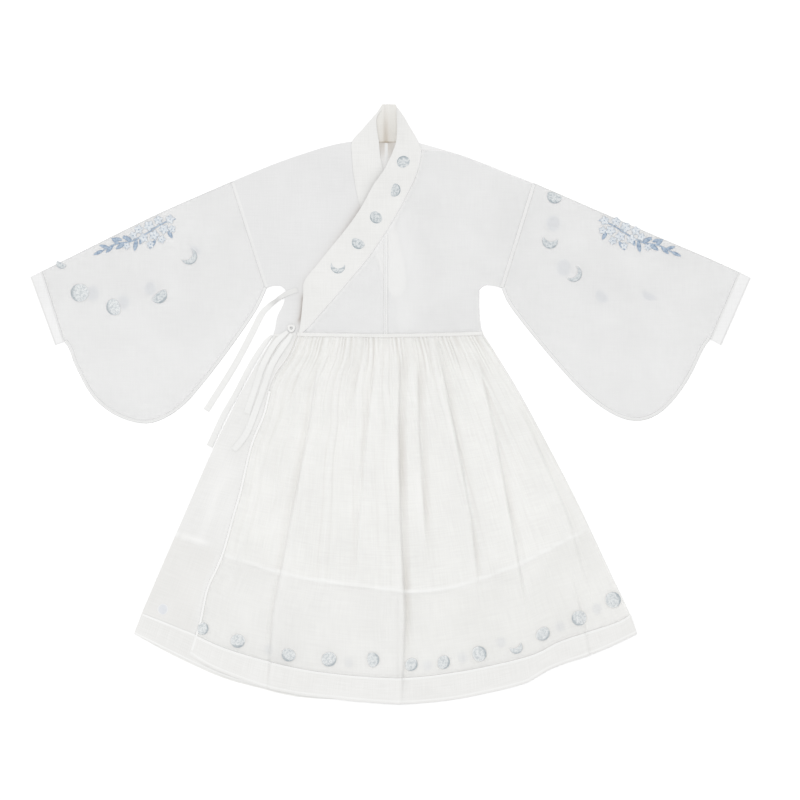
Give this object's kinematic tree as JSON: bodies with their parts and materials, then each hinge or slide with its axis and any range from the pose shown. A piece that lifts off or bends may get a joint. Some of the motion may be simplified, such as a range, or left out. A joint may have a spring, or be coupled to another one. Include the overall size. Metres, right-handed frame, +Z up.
{
  "type": "hanfu robe",
  "caption": "Crossed-collar robe of sheer white cloth with wide rounded sleeves, a gathered wrap skirt and narrow ties, laid flat on its back with the sleeves spread.",
  "frame": {"origin": "centre of the garment's box on the surface that it lies on", "axes": "+X to the wearer's left, which is the viewer's right; +Y from the hem to the collar; +Z up from the surface, out of the garment's front"},
  "size_m": [1.5486, 1.288, 0.0134],
  "materials": {
    "bodice_gauze": "sheer, fine plain weave, faint sheen",
    "skirt_gauze": "sheer, fine plain weave, faint sheen, gathered at the waist",
    "band_cloth": "doubled cloth, denser, matt, with small stitched patches",
    "lining_cloth": "thin plain cloth, matt"
  },
  "bodies": {
    "root": {"back_left": "bodice_gauze", "back_right": "bodice_gauze", "under_front": "bodice_gauze", "over_front": "bodice_gauze", "over_front_lap": "bodice_gauze", "left_sleeve": "bodice_gauze", "right_sleeve": "bodice_gauze", "skirt_back": "skirt_gauze", "under_skirt": "skirt_gauze", "over_skirt": "skirt_gauze", "collar_back": "band_cloth", "under_collar": "band_cloth", "over_collar": "band_cloth", "left_cuff": "band_cloth", "right_cuff": "band_cloth", "hem_band_back": "band_cloth", "hem_band_under": "band_cloth", "hem_band_over": "band_cloth", "tie_side_upper": "band_cloth", "tie_side_lower": "band_cloth", "tie_waist_short": "band_cloth", "tie_waist_long": "band_cloth", "waist_knot": "band_cloth", "under_skirt_lining": "lining_cloth", "over_skirt_lining": "lining_cloth"}
  },
  "joints": []
}
